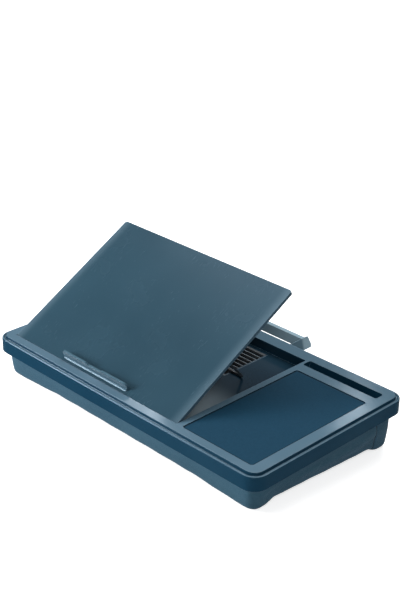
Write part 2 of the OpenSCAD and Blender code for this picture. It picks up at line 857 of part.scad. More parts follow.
module prop_bail() {
    knee = [prop_top_w / 2, 0];
    foot = [prop_foot_w / 2, prop_len];
    arm_heading = atan2(foot[1] - knee[1], foot[0] - knee[0]);
    arm_way = [cos(arm_heading), sin(arm_heading)];
    knee_cut = bend_r * tan(arm_heading / 2);
    foot_cut = bend_r * tan((180 - arm_heading) / 2);
    color(dark) prop_frame() {
        wire_run([foot_cut - foot[0], prop_len], [foot[0] - foot_cut, prop_len]);
        for (side = [0, 1])
            mirror([side, 0, 0]) {
                wire_run(knee - [barrel_len, 0], knee - [knee_cut, 0]);
                wire_bend(knee - [knee_cut, 0], 0, arm_heading);
                wire_run(knee + knee_cut * arm_way, foot - foot_cut * arm_way);
                wire_bend(foot - foot_cut * arm_way, arm_heading, 180 - arm_heading);
            }
    }
}

tray_deck();
base_panel();
base_screws();
cushion();
mouse_pad();
phone_slot_pad();
prop_rack_left();
prop_rack_right();
carry_handle();
handle_screws();
hinge_pin_left();
hinge_pin_right();
laptop_platform();
device_ledge();
ledge_screws();
platform_bumpers();
bail_clip_left();
bail_clip_right();
bail_clip_screws();
prop_bail();
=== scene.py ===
import json
from math import cos, pi, radians, sin, tan

import bmesh
import bpy
from mathutils import Euler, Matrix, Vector
from mathutils.bvhtree import BVHTree

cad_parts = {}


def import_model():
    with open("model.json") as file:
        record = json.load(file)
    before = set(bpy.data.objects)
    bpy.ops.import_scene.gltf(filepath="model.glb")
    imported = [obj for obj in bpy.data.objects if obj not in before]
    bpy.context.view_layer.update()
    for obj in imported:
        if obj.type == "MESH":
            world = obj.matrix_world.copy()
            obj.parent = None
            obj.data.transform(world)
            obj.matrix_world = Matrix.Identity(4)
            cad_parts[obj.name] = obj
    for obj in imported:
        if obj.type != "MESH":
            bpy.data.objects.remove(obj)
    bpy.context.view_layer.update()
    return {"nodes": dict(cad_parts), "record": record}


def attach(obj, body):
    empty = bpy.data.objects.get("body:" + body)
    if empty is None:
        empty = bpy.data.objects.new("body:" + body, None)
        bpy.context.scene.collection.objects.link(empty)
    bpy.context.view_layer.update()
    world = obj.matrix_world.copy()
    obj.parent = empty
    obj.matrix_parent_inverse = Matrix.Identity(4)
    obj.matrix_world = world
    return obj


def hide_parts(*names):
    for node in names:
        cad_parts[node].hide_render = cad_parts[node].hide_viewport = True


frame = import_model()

nodes = frame["nodes"]

# The tray's frame, as the part's source has it: millimetres, leant back on its cushion
SLOPE = radians(3.8)
TRAY_W, TRAY_D, SKIRT_H = 617.0, 355.0, 28.5
CUSHION_INSET, CUSHION_FRONT_H, CUSHION_EDGE_R, CUSHION_CORNER_R = 11.0, 46.5, 9.0, 20.0
CUSHION_ARCH, CUSHION_WAIST, CUSHION_DRAW = 7.5, 5.5, 3.0
SEAT_GAP = 0.3
CUSHION_TOP = -SKIRT_H - SEAT_GAP
LIFT_Y = CUSHION_INSET + CUSHION_EDGE_R
HANDLE_REACH, HANDLE_EDGE_R = 54.0, 3.5
RIM_DROP, CREST_R = 3.5, 2.0
BASE_DROP = (CUSHION_FRONT_H - CUSHION_TOP) * cos(SLOPE) - LIFT_Y * sin(SLOPE)
BOX_FRONT = (RIM_DROP + CREST_R) * sin(SLOPE)
BOX_BACK = (TRAY_D + HANDLE_REACH - HANDLE_EDGE_R) * cos(SLOPE) \
    + (SKIRT_H - HANDLE_EDGE_R) * sin(SLOPE) + HANDLE_EDGE_R
SHIFT_Y = -(BOX_FRONT + BOX_BACK) / 2
POCKET_CX = -79.95
PROP_FOOT_W, RACK_INSET, RACK_W, RACK_RAIL = 300.0, 26.0, 57.0, 3.0
FRONT_LOBE, REAR_LOBE, LOBE_TURN, SIDE_TURN = 30.0, 38.0, 18.0, 120.0

# The pocket's painted shade and painted reflection reach to just outside its walls
POCKET_REACH, POCKET_FRONT, POCKET_BACK = 203.6, 22.2, 324.0
# Heights over the plateau, in metres: the walls' painted shade begins between the first two, and
# below the third the racks' bed is painted black as shade
POCKET_LIP_Z, POCKET_SHADE_Z, RACK_BED_Z = -0.0015, -0.006, -0.0186
# The painted reflection on the pocket's floor fades out between these two
SHEEN_FULL_Y, SHEEN_END_Y = 95.0, 190.0
# The painted light on the lid's borders grows between these two distances from its middle
LID_LIGHT_FROM, LID_LIGHT_TO = 181.0, 203.0
# The handle's bar, painted paler as painted light: how far in from the handle's rear, and its
# height
LIT_BAR_IN, LIT_BAR_Z = 19.0, -12.0
# The seams sewn down the cushion's sides: place, thread's radius, how far it stands out, what
# is left free above and below, and the number of points
SEAM_Y, SEAM_R, SEAM_PROUD, SEAM_TOP, SEAM_SHORT, SEAM_POINTS = 298.0, 0.45, 0.2, 0.5, 7.0, 25
# A seam's points are found by rays from this far to the side
RAY_FROM_X = 400.0


def world(x, y, z):
    """A point of the tray's frame, in mm, in the shared frame, in metres."""
    return Vector((x, y * cos(SLOPE) - z * sin(SLOPE) + SHIFT_Y,
                   y * sin(SLOPE) + z * cos(SLOPE) + BASE_DROP)) / 1000


# ---------------------------------------------------------------- materials

class Mat:
    """A procedural material on the Principled shader, in the object's own coordinates."""

    def __init__(self, name):
        self.m = bpy.data.materials.new(name)
        self.m.use_nodes = True
        self.t = self.m.node_tree
        self.t.nodes.clear()
        self.out = self.t.nodes.new("ShaderNodeOutputMaterial")
        self.b = self.t.nodes.new("ShaderNodeBsdfPrincipled")
        self.t.links.new(self.b.outputs[0], self.out.inputs[0])
        self.p = self.t.nodes.new("ShaderNodeTexCoord").outputs["Object"]

    def link(self, value, socket):
        if isinstance(value, bpy.types.NodeSocket):
            self.t.links.new(value, socket)
        else:
            socket.default_value = value

    def math(self, op, a, b=0.0, c=0.0, clamp=False):
        n = self.t.nodes.new("ShaderNodeMath")
        n.operation = op
        n.use_clamp = clamp
        for i, v in enumerate((a, b, c)):
            self.link(v, n.inputs[i])
        return n.outputs[0]

    def split(self, vector):
        n = self.t.nodes.new("ShaderNodeSeparateXYZ")
        self.link(vector, n.inputs[0])
        return n.outputs

    def mapped(self, scale, rotation=(0, 0, 0)):
        n = self.t.nodes.new("ShaderNodeMapping")
        self.link(self.p, n.inputs["Vector"])
        n.inputs["Scale"].default_value = scale
        n.inputs["Rotation"].default_value = rotation
        return n.outputs[0]

    def noise(self, scale, detail=3.0, rough=0.5, vector=None):
        n = self.t.nodes.new("ShaderNodeTexNoise")
        self.link(vector if vector is not None else self.p, n.inputs["Vector"])
        n.inputs["Scale"].default_value = scale
        n.inputs["Detail"].default_value = detail
        n.inputs["Roughness"].default_value = rough
        return n.outputs["Fac"]

    def remap(self, value, low, high, to_low=0.0, to_high=1.0):
        """A smooth step from to_low to to_high while the value goes from low to high."""
        n = self.t.nodes.new("ShaderNodeMapRange")
        n.interpolation_type = "SMOOTHSTEP"
        for i, v in enumerate((value, low, high, to_low, to_high)):
            self.link(v, n.inputs[i])
        return n.outputs[0]

    def mix(self, fac, a, b):
        n = self.t.nodes.new("ShaderNodeMix")
        n.data_type = "RGBA"
        self.link(fac, n.inputs["Factor"])
        for key, v in (("A", a), ("B", b)):
            socket = [s for s in n.inputs if s.name == key and s.type == "RGBA"][0]
            self.link(v if isinstance(v, bpy.types.NodeSocket) else (*v, 1.0), socket)
        return [s for s in n.outputs if s.type == "RGBA"][0]

    def geometry(self, name):
        return self.t.nodes.new("ShaderNodeNewGeometry").outputs[name]

    def round_edges(self, radius):
        n = self.t.nodes.new("ShaderNodeBevel")
        n.samples = 4
        n.inputs["Radius"].default_value = radius
        return n.outputs[0]

    def edge_mask(self, radius):
        """1 along edges, where the rounded normal leaves the face's own."""
        n = self.t.nodes.new("ShaderNodeVectorMath")
        n.operation = "DOT_PRODUCT"
        self.t.links.new(self.round_edges(radius), n.inputs[0])
        self.t.links.new(self.geometry("Normal"), n.inputs[1])
        return self.remap(n.outputs["Value"], 0.995, 0.90)

    def bump(self, height, strength, distance, normal=None):
        n = self.t.nodes.new("ShaderNodeBump")
        self.link(height, n.inputs["Height"])
        n.inputs["Strength"].default_value = strength
        n.inputs["Distance"].default_value = distance
        if normal is not None:
            self.t.links.new(normal, n.inputs["Normal"])
        return n.outputs[0]

    def set(self, **values):
        for key, v in values.items():
            self.link(v, self.b.inputs[key.replace("_", " ")])
        return self.m


# Linear colours
FLOW_TINT = (0.050, 0.115, 0.160)
WORN_AND_HIGHLIGHT_TINT = (0.20, 0.30, 0.38)
POCKET_PAINTED_SHADE = (0.002, 0.013, 0.026)
POCKET_PAINTED_SHEEN = (0.38, 0.48, 0.54)
UNDER_RACKS_PAINTED_SHADE = (0.002, 0.002, 0.003)
LID_PAINTED_LIGHT = (0.12, 0.18, 0.225)
HANDLE_PAINTED_LIGHT = (0.36, 0.50, 0.58)
PAD_SHADOW = (0.001, 0.006, 0.012)
RUNG_TONE = (0.075, 0.070, 0.068)
FLOOR_REFLECTED = (0.20, 0.30, 0.38)
# Painted light: the tray is painted paler on its faces that look up than on its sides
SIDE = (0.001, 0.020, 0.042)
TOP_PAINTED_LIGHT = (0.070, 0.128, 0.176)

GRAIN = 0.175


def moulded(name, side, top=None, rough=0.36, edge=0.0006, rubbed=0.60, regions=None):
    """Satin moulded plastic: spark-eroded grain, faint flow, scuffs, and pale edges of wear and
    painted highlight.

    The colour goes from side to top where a face looks up, as painted light: faces that look up
    are painted paler than the sides. Regions may change it further.
    """
    k = Mat(name)
    colour = side
    if top is not None:
        # Painted light: paler the more a face looks up
        up = k.split(k.geometry("Normal"))[2]
        colour = k.mix(k.remap(up, 0.55, 0.97), side, top)
    if regions is not None:
        colour = regions(k, colour)
    flow = k.noise(6.0, 2.0, 0.45)
    colour = k.mix(k.remap(flow, 0.15, 0.85, 0.0, 0.14), colour, FLOW_TINT)
    # Pale edges: partly wear, partly a painted highlight along crests and rims
    edge_band = k.edge_mask(edge * 1.6)
    spots = k.remap(k.noise(90.0, 4.0, 0.7), 0.42, 0.62)
    worn_and_highlight = k.math("MULTIPLY", edge_band, k.math("MULTIPLY_ADD", spots, 0.5, 0.5))
    colour = k.mix(k.math("MULTIPLY", worn_and_highlight, rubbed), colour, WORN_AND_HIGHLIGHT_TINT)
    scratch = k.noise(40.0, 3.0, 0.6, k.mapped((9, 0.8, 3), (0, 0, 0.5)))
    scuff = k.remap(scratch, 0.55, 0.85, 0.0, 0.06)
    patch = k.remap(k.noise(14.0, 2.0, 0.5), 0.15, 0.85, -0.03, 0.05)
    roughness = k.math("ADD", k.math("ADD", patch, scuff), rough, clamp=True)
    fine = k.noise(1100.0, 1.0, 0.5)
    mid = k.noise(420.0, 2.0, 0.5)
    height = k.math("ADD", k.math("MULTIPLY", fine, 0.6), k.math("MULTIPLY", mid, 0.4))
    normal = k.bump(height, GRAIN, 0.00006, k.round_edges(edge))
    return k.set(Base_Color=colour, Roughness=roughness, Normal=normal,
                 Specular_IOR_Level=0.30, IOR=1.47, Specular_Tint=(0.50, 0.76, 1.0, 1.0))


def tray_height(k):
    """Height over the plateau in the tray's frame, in metres."""
    _, y, z = k.split(k.p)
    lean_y = k.math("SUBTRACT", y, SHIFT_Y / 1000)
    lean_z = k.math("SUBTRACT", z, BASE_DROP / 1000)
    return k.math("SUBTRACT", k.math("MULTIPLY", lean_z, cos(SLOPE)),
                  k.math("MULTIPLY", lean_y, sin(SLOPE)))


def plan_y(y):
    """The shared frame's y, in metres, of a place on the plateau."""
    return world(0, y, 0)[1]


def pocket_span(k):
    """Distance to the left or right of the pocket's middle, in metres."""
    return k.math("ABSOLUTE", k.math("SUBTRACT", k.split(k.p)[0], POCKET_CX / 1000))


def tray_regions(k, colour):
    """The pocket is painted dark inside as painted shade, with a pale painted reflection near the
    hinge, and black painted shade under its racks.
    """
    y = k.split(k.p)[1]
    height = tray_height(k)
    sunk = k.remap(height, POCKET_LIP_Z, POCKET_SHADE_Z)
    inside = k.math("LESS_THAN", pocket_span(k), POCKET_REACH / 1000)
    inside = k.math("MULTIPLY", inside, k.math("GREATER_THAN", y, plan_y(POCKET_FRONT)))
    inside = k.math("MULTIPLY", inside, k.math("LESS_THAN", y, plan_y(POCKET_BACK)))
    pocket = k.math("MULTIPLY", sunk, inside)
    # Painted shade inside the pocket
    colour = k.mix(k.math("MULTIPLY", pocket, 0.96), colour, POCKET_PAINTED_SHADE)
    # Painted reflection: a pale grey sheen on the pocket's floor near the hinge
    painted_sheen = k.remap(y, plan_y(SHEEN_FULL_Y), plan_y(SHEEN_END_Y), 0.9, 0.0)
    cloud = k.remap(k.noise(11.0, 3.0, 0.6), 0.2, 0.8, 0.7, 1.0)
    colour = k.mix(k.math("MULTIPLY", k.math("MULTIPLY", painted_sheen, cloud), pocket), colour,
                   POCKET_PAINTED_SHEEN)
    # Painted shade: black below the racks' bed
    under = k.math("MULTIPLY", k.math("LESS_THAN", height, RACK_BED_Z), inside)
    return k.mix(under, colour, UNDER_RACKS_PAINTED_SHADE)


def lid_regions(k, colour):
    """The lid's left and right borders are painted paler than its middle: painted light at the
    borders, painted shade on the middle.
    """
    # Painted light on the borders, painted shade on the middle
    painted_light = k.remap(pocket_span(k), LID_LIGHT_FROM / 1000, LID_LIGHT_TO / 1000)
    return k.mix(k.math("MULTIPLY", painted_light, 0.35), colour, LID_PAINTED_LIGHT)


def handle_regions(k, colour):
    """The handle's bar is painted paler than its legs, as painted light."""
    bar = world(0, TRAY_D + HANDLE_REACH - LIT_BAR_IN, LIT_BAR_Z)[1]
    # Painted light on the bar
    grip = k.remap(k.split(k.p)[1], bar - 0.006, bar + 0.002)
    cloud = k.remap(k.noise(24.0, 3.0, 0.6), 0.25, 0.75, 0.75, 1.0)
    return k.mix(k.math("MULTIPLY", k.math("MULTIPLY", grip, cloud), 0.75), colour,
                 HANDLE_PAINTED_LIGHT)


def pad_border(k, colour):
    """A painted shadow: a dark line where the pad meets the edge of its recess."""
    x, y, _ = k.split(k.p)
    corners = [Vector(c) for c in nodes["mouse_pad"].bound_box]
    x0, x1 = min(c.x for c in corners), max(c.x for c in corners)
    y0, y1 = min(c.y for c in corners), max(c.y for c in corners)
    near = k.math("MINIMUM", k.math("SUBTRACT", x1, x), k.math("SUBTRACT", x, x0))
    near = k.math("MINIMUM", near, k.math("MINIMUM", k.math("SUBTRACT", y1, y),
                                          k.math("SUBTRACT", y, y0)))
    return k.mix(k.remap(near, 0.0008, 0.0030, 0.9, 0.0), colour, PAD_SHADOW)


def rack_regions(k, colour):
    """Rungs paler than the rails round them."""
    outer = PROP_FOOT_W / 2 - RACK_INSET
    span = pocket_span(k)
    rungs = k.math("MULTIPLY",
                   k.math("GREATER_THAN", span, (outer - RACK_W + RACK_RAIL) / 1000),
                   k.math("LESS_THAN", span, (outer - RACK_RAIL) / 1000))
    return k.mix(rungs, colour, RUNG_TONE)


def weave(k, pitch):
    """Plain weave mapped on the dominant plane of each face."""
    x, y, z = k.split(k.p)
    n = k.split(k.geometry("True Normal"))
    ax = k.math("GREATER_THAN", k.math("ABSOLUTE", n[0]), 0.7)
    az = k.math("GREATER_THAN", k.math("ABSOLUTE", n[2]), 0.7)
    u = k.math("ADD", k.math("MULTIPLY", y, ax),
               k.math("MULTIPLY", x, k.math("SUBTRACT", 1.0, ax)))
    v = k.math("ADD", k.math("MULTIPLY", y, az),
               k.math("MULTIPLY", z, k.math("SUBTRACT", 1.0, az)))
    wob = k.math("MULTIPLY", k.math("SUBTRACT", k.noise(140.0, 2.0), 0.5), pitch * 1.4)
    su = k.math("SINE", k.math("MULTIPLY", k.math("ADD", u, wob), 2 * pi / pitch))
    sv = k.math("SINE", k.math("MULTIPLY", k.math("ADD", v, wob), 2 * pi / pitch))
    thread = k.math("MULTIPLY", su, sv)
    return k.math("MULTIPLY_ADD", thread, 0.5, 0.5)


def cloth(name, dark, light, pitch, rough=0.86, sheen=0.25, strength=0.6, gloss=0.12,
          regions=None):
    """Woven polyester: threads, heather, faint rubbed patches and a soft sheen."""
    k = Mat(name)
    threads = weave(k, pitch)
    heather = k.noise(260.0, 4.0, 0.7, k.mapped((1, 1, 3.2)))
    broad = k.noise(5.5, 2.0, 0.5)
    tone = k.math("ADD", k.math("MULTIPLY", k.remap(heather, 0.3, 0.7), 0.42),
                  k.math("MULTIPLY", k.remap(broad, 0.3, 0.7), 0.28))
    tone = k.math("ADD", tone, k.math("MULTIPLY", threads, 0.30), clamp=True)
    colour = k.mix(tone, dark, light)
    if regions is not None:
        colour = regions(k, colour)
    fuzz = k.noise(900.0, 3.0, 0.7)
    height = k.math("ADD", k.math("MULTIPLY", threads, 0.75), k.math("MULTIPLY", fuzz, 0.25))
    lumps = k.noise(34.0, 3.0, 0.55)
    soft = k.bump(lumps, 0.25, 0.0012)
    normal = k.bump(height, strength, pitch * 0.22, soft)
    return k.set(Base_Color=colour, Roughness=rough, Normal=normal, Sheen_Weight=sheen,
                 Sheen_Roughness=0.45, Sheen_Tint=(0.6, 0.8, 1.0, 1.0),
                 Specular_IOR_Level=gloss)


def soft_rubber(name, base):
    """Matt rubber with paler specks."""
    k = Mat(name)
    speck = k.remap(k.noise(380.0, 4.0, 0.7), 0.35, 0.7, 0.0, 0.5)
    colour = k.mix(speck, base, tuple(min(1.0, c * 2.2 + 0.01) for c in base))
    rough = k.remap(k.noise(60.0, 3.0), 0.3, 0.7, 0.62, 0.80)
    normal = k.bump(k.noise(1100.0, 3.0, 0.6), 0.35, 0.00012, k.round_edges(0.0004))
    return k.set(Base_Color=colour, Roughness=rough, Normal=normal)


def painted_wire(name):
    """Dark powder-coated steel wire."""
    k = Mat(name)
    colour = k.mix(k.remap(k.noise(50.0, 3.0), 0.35, 0.7), (0.016, 0.018, 0.021),
                   (0.036, 0.040, 0.046))
    rough = k.remap(k.noise(130.0, 3.0, 0.6), 0.3, 0.7, 0.30, 0.46)
    normal = k.bump(k.noise(700.0, 2.0, 0.5), 0.25, 0.00008)
    return k.set(Base_Color=colour, Roughness=rough, Normal=normal, Coat_Weight=0.2,
                 Coat_Roughness=0.3)


def brushed(name):
    """Bare steel with fine lines."""
    k = Mat(name)
    lines = k.noise(260.0, 4.0, 0.6, k.mapped((1, 14, 14)))
    colour = k.mix(k.remap(lines, 0.3, 0.7), (0.44, 0.45, 0.47), (0.68, 0.69, 0.71))
    rough = k.remap(lines, 0.3, 0.7, 0.24, 0.40)
    return k.set(Base_Color=colour, Roughness=rough, Metallic=1.0,
                 Normal=k.bump(lines, 0.3, 0.00005, k.round_edges(0.0002)))


MATS = {
    "tray": moulded("tray_plastic", SIDE, TOP_PAINTED_LIGHT, 0.14, regions=tray_regions),
    "panel": moulded("panel_plastic", (0.020, 0.024, 0.030), None, 0.55),
    "cushion": cloth("cushion_cloth", (0.008, 0.042, 0.072), (0.032, 0.086, 0.124), 0.0011,
                     rough=0.55, sheen=0.12, gloss=0.20),
    "pad": cloth("pad_cloth", (0.001, 0.027, 0.054), (0.004, 0.038, 0.073), 0.0007,
                 rough=0.62, sheen=0.05, strength=0.35, gloss=0.05, regions=pad_border),
    "grip": soft_rubber("grip_rubber", (0.012, 0.014, 0.017)),
    "rack": moulded("rack_plastic", (0.020, 0.030, 0.042), None, 0.42, regions=rack_regions),
    "lid": moulded("lid_plastic", (0.003, 0.024, 0.044), (0.020, 0.046, 0.065), 0.24,
                   edge=0.0012, regions=lid_regions),
    # Painted light: a paler copy of the lid's plastic
    "ledge": moulded("ledge_painted_light", (0.028, 0.062, 0.088), (0.050, 0.098, 0.130), 0.24,
                     rubbed=0.30),
    # Painted light: the handle is painted much paler than the tray, though the same plastic
    "handle": moulded("handle_painted_light", (0.085, 0.142, 0.182), (0.115, 0.180, 0.222), 0.24,
                      regions=handle_regions),
    "wire": painted_wire("wire_paint"),
    "clip": moulded("clip_plastic", (0.018, 0.021, 0.025), None, 0.45, edge=0.0003),
    "screws": brushed("screw_steel"),
}
# Each node has its slot's material, but the ledge is a shade paler than the lid it shares one
# with, as painted light
slot_of = {s["node"]: s["material_slot"] for s in frame["record"]["subparts"]}
for name, obj in nodes.items():
    mesh = obj.data
    if not mesh.materials:
        mesh.materials.append(None)
    for i in range(len(mesh.materials)):
        mesh.materials[i] = MATS["ledge" if name == "device_ledge" else slot_of[name]]
    if name != "cushion":
        for p in mesh.polygons:
            p.use_smooth = True
        mesh.set_sharp_from_angle(angle=radians(32))


# ---------------------------------------------------------------- cushion

TOP_EDGE_R, TOP_INSET = 2.5, 7.0
SIDE_START, SIDE_BULGE, SIDE_RINGS, EDGE_RINGS = 0.04, 2.2, 12, 6
BASE_RINGS = (0.985, 0.965, 0.94, 0.91, 0.87, 0.82, 0.75, 0.66, 0.55, 0.43, 0.3, 0.17, 0.06)
CORNER_STEPS, LONG_STEPS, SHORT_STEPS = 10, 88, 48
# The pressed cover, in metres: its start inside the solid, its mesh, and how far it may move
COVER_SHRINK, COVER_VOXEL, COVER_MOVE = 0.0008, 0.0045, 0.0020
COVER_DEEPEST, COVER_PROUDEST = 0.0008, 0.0015
COVER_FRAMES = 16
# The dimple along a seam: half its width in mm and its depth in metres; and the folds' height
DIMPLE_REACH, DIMPLE_DEPTH, FOLD_HEIGHT = 3.0, 0.0009, 0.00045


def smooth(t):
    """A smooth step from 0 to 1."""
    t = max(0.0, min(1.0, t))
    return t * t * (3 - 2 * t)


def floor_z(y):
    """Height of the floor under the tray's y, in the tray's frame."""
    return CUSHION_TOP - CUSHION_FRONT_H - (y - LIFT_Y) * tan(SLOPE)


def arch(x, y):
    """How far the underside is raised between the four lobes it rests on."""
    front = CUSHION_INSET + FRONT_LOBE
    back = TRAY_D - CUSHION_INSET - REAR_LOBE
    side = (TRAY_W - 2 * CUSHION_INSET) / 2 - CUSHION_CORNER_R
    along = smooth((y - front) / LOBE_TURN) * smooth((back - y) / LOBE_TURN)
    across = smooth((side - abs(x)) / SIDE_TURN)
    return CUSHION_ARCH * along + CUSHION_WAIST * across * (1 - along)


def underside(x, y):
    """Height of the cushion's underside, in the tray's frame."""
    return floor_z(y) + arch(x, y)


def outline(inset):
    """Points round the cushion, counter-clockwise from its right side, tray's mm."""
    w = TRAY_W - 2 * CUSHION_INSET - 2 * inset
    d = TRAY_D - 2 * CUSHION_INSET - 2 * inset
    r = max(CUSHION_CORNER_R - inset, 4.0)
    pts = []
    for q, (sx, sy) in enumerate(((1, 1), (-1, 1), (-1, -1), (1, -1))):
        cx, cy = sx * (w / 2 - r), sy * (d / 2 - r)
        for i in range(CORNER_STEPS + 1):
            a = radians(90 * q + 90 * i / CORNER_STEPS)
            pts.append((cx + r * cos(a), cy + r * sin(a)))
        # Then the straight side, up to where the next corner starts
        next_x, next_y = ((-1, 1), (-1, -1), (1, -1), (1, 1))[q]
        a = radians(90 * q + 90)
        end_x = next_x * (w / 2 - r) + r * cos(a)
        end_y = next_y * (d / 2 - r) + r * sin(a)
        x0, y0 = pts[-1]
        n = LONG_STEPS if q % 2 == 0 else SHORT_STEPS
        for i in range(1, n):
            pts.append((x0 + (end_x - x0) * i / n, y0 + (end_y - y0) * i / n))
    return pts


def side_inset(h):
    """Inset of the side, 0 at its top and 1 at its foot: drawn in, with a bulge between."""
    return CUSHION_DRAW * h - SIDE_BULGE * sin(pi * h)


def cushion_rings():
    """Rings of points from the cushion's top, down its side and round to its underside."""
    mid = TRAY_D / 2
    rings = [[(x, y + mid, CUSHION_TOP) for x, y in outline(TOP_INSET)]]
    for degrees in (30, 60, 90):
        a = radians(degrees)
        rings.append([(x, y + mid, CUSHION_TOP - TOP_EDGE_R * (1 - cos(a)))
                      for x, y in outline(side_inset(SIDE_START) + TOP_EDGE_R * (1 - sin(a)))])
    for j in range(1, SIDE_RINGS + 1):
        h = SIDE_START + (1 - SIDE_START) * j / SIDE_RINGS
        ring = []
        for x, y in outline(side_inset(h)):
            foot = underside(x, y + mid) + CUSHION_EDGE_R
            ring.append((x, y + mid, CUSHION_TOP + (foot - CUSHION_TOP) * h))
        rings.append(ring)
    for j in range(1, EDGE_RINGS + 1):
        a = radians(90 * j / EDGE_RINGS)
        inset = side_inset(1) + CUSHION_EDGE_R * (1 - cos(a))
        rings.append([(x, y + mid, underside(x, y + mid) + CUSHION_EDGE_R * (1 - sin(a)))
                      for x, y in outline(inset)])
    base = outline(side_inset(1) + CUSHION_EDGE_R)
    for f in BASE_RINGS:
        rings.append([(x * f, y * f + mid, underside(x * f, y * f + mid)) for x, y in base])
    return rings


def ring_mesh(name, rings, top_point, base_point):
    """A closed mesh through rings of points in the tray's frame, with a point at each end."""
    count = len(rings[0])
    verts = [world(*p) for ring in rings for p in ring]
    faces = []
    for j in range(len(rings) - 1):
        for i in range(count):
            a, b = j * count + i, j * count + (i + 1) % count
            faces.append((a, b, b + count, a + count))
    mesh = bpy.data.meshes.new(name)
    top = len(verts)
    verts.append(world(*top_point))
    verts.append(world(*base_point))
    last = (len(rings) - 1) * count
    for i in range(count):
        faces.append((top, (i + 1) % count, i))
        faces.append((top + 1, last + i, last + (i + 1) % count))
    mesh.from_pydata(verts, [], faces)
    bm = bmesh.new()
    bm.from_mesh(mesh)
    bmesh.ops.recalc_face_normals(bm, faces=bm.faces)
    bm.to_mesh(mesh)
    bm.free()
    obj = bpy.data.objects.new(name, mesh)
    bpy.context.scene.collection.objects.link(obj)
    return obj


def soften(obj):
    """Smooth shading on every face."""
    for face in obj.data.polygons:
        face.use_smooth = True


def apply_modifiers(obj):
    """Keep the mesh that the modifiers make, and drop the modifiers."""
    graph = bpy.context.evaluated_depsgraph_get()
    done = bpy.data.meshes.new_from_object(obj.evaluated_get(graph))
    obj.modifiers.clear()
    obj.data = done


def tray_point(p):
    """A point of the shared frame in the tray's frame, in mm."""
    y, z = p[1] * 1000 - SHIFT_Y, p[2] * 1000 - BASE_DROP
    return p[0] * 1000, y * cos(SLOPE) + z * sin(SLOPE), z * cos(SLOPE) - y * sin(SLOPE)


def hug(obj, node, deepest, proudest):
    """Keep each point within these distances of a CAD node's skin, inside and outside."""
    skin = BVHTree.FromPolygons([v.co for v in node.data.vertices],
                                [q.vertices for q in node.data.polygons])
    for v in obj.data.vertices:
        spot, normal, _, _ = skin.find_nearest(v.co)
        gap = (v.co - spot).dot(normal)
        if gap < -deepest:
            v.co = spot - normal * deepest
        elif gap > proudest:
            v.co = spot + normal * proudest


def dress_cushion(obj):
    """Small folds by the lobes and a dimple along the side seams, and flat where it rests."""
    for v in obj.data.vertices:
        x, y, z = tray_point(v.co)
        on_side = smooth((CUSHION_TOP - z - 1) / 8)
        near = max(0.0, 1 - abs(y - SEAM_Y) / DIMPLE_REACH)
        if abs(x) > 250 and near > 0:
            v.co.x -= (1 if x > 0 else -1) * DIMPLE_DEPTH * near * on_side
        fold = sin(x * 0.11 + 1.3 * sin(y * 0.05)) * sin(y * 0.09 + 0.8)
        v.co.z += FOLD_HEIGHT * fold * smooth((CUSHION_TOP - z - 28) / 12)
        v.co.z = max(v.co.z, 0.0)


def press(obj):
    """Puff the cover out as a pressed cloth, then keep it to the solid's skin."""
    for v in obj.data.vertices:
        v.co -= v.normal * COVER_SHRINK
    remesh = obj.modifiers.new("Remesh", "REMESH")
    remesh.mode = "VOXEL"
    remesh.voxel_size = COVER_VOXEL
    apply_modifiers(obj)
    before = [v.co.copy() for v in obj.data.vertices]
    sim = obj.modifiers.new("Cloth", "CLOTH")
    sim.settings.quality = 4
    sim.settings.mass = 0.25
    sim.settings.tension_stiffness = 18
    sim.settings.compression_stiffness = 18
    sim.settings.shear_stiffness = 8
    sim.settings.bending_stiffness = 2.0
    sim.settings.use_pressure = True
    sim.settings.uniform_pressure_force = 3.0
    sim.settings.effector_weights.gravity = 0
    sim.point_cache.frame_start = 1
    sim.point_cache.frame_end = COVER_FRAMES
    for f in range(1, COVER_FRAMES + 1):
        bpy.context.scene.frame_set(f)
    graph = bpy.context.evaluated_depsgraph_get()
    puffed = bpy.data.meshes.new_from_object(obj.evaluated_get(graph))
    obj.modifiers.clear()
    bpy.context.scene.frame_set(1)
    for v, old, new in zip(obj.data.vertices, before, puffed.vertices):
        move = new.co - old
        if move.length > COVER_MOVE:
            move *= COVER_MOVE / move.length
        v.co = old + move
        x, y, z = tray_point(v.co)
        if z > CUSHION_TOP:
            v.co = world(x, y, CUSHION_TOP)
    bpy.data.meshes.remove(puffed)
    relax = obj.modifiers.new("Smooth", "SMOOTH")
    relax.factor = 0.5
    relax.iterations = 1
    apply_modifiers(obj)
    hug(obj, nodes["cushion"], COVER_DEEPEST, COVER_PROUDEST)
    divide = obj.modifiers.new("Subdivision", "SUBSURF")
    divide.levels = divide.render_levels = 1
    apply_modifiers(obj)


cushion = ring_mesh("cushion_cover", cushion_rings(), (0, TRAY_D / 2, CUSHION_TOP),
                    (0, TRAY_D / 2, underside(0, TRAY_D / 2)))
press(cushion)
dress_cushion(cushion)
soften(cushion)
cushion.data.materials.clear()
cushion.data.materials.append(MATS["cushion"])
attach(cushion, "tray")
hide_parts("cushion")


# ---------------------------------------------------------------- mouse pad

PAD_EDGE_R, PAD_CORNER_R, PAD_CROWN = 0.8, 4.0, 0.25
PAD_FOOT_INSET, PAD_FOOT_H = 0.5, 0.4


def rounded(w, d, r):
    """Points round a rectangle with rounded corners, counter-clockwise, in mm."""
    pts = []
    for sx, sy, start in ((1, 1, 0), (-1, 1, 90), (-1, -1, 180), (1, -1, 270)):
        for i in range(9):
            a = radians(start + 90 * i / 8)
            pts.append((sx * (w / 2 - r) + r * cos(a), sy * (d / 2 - r) + r * sin(a)))
    return pts


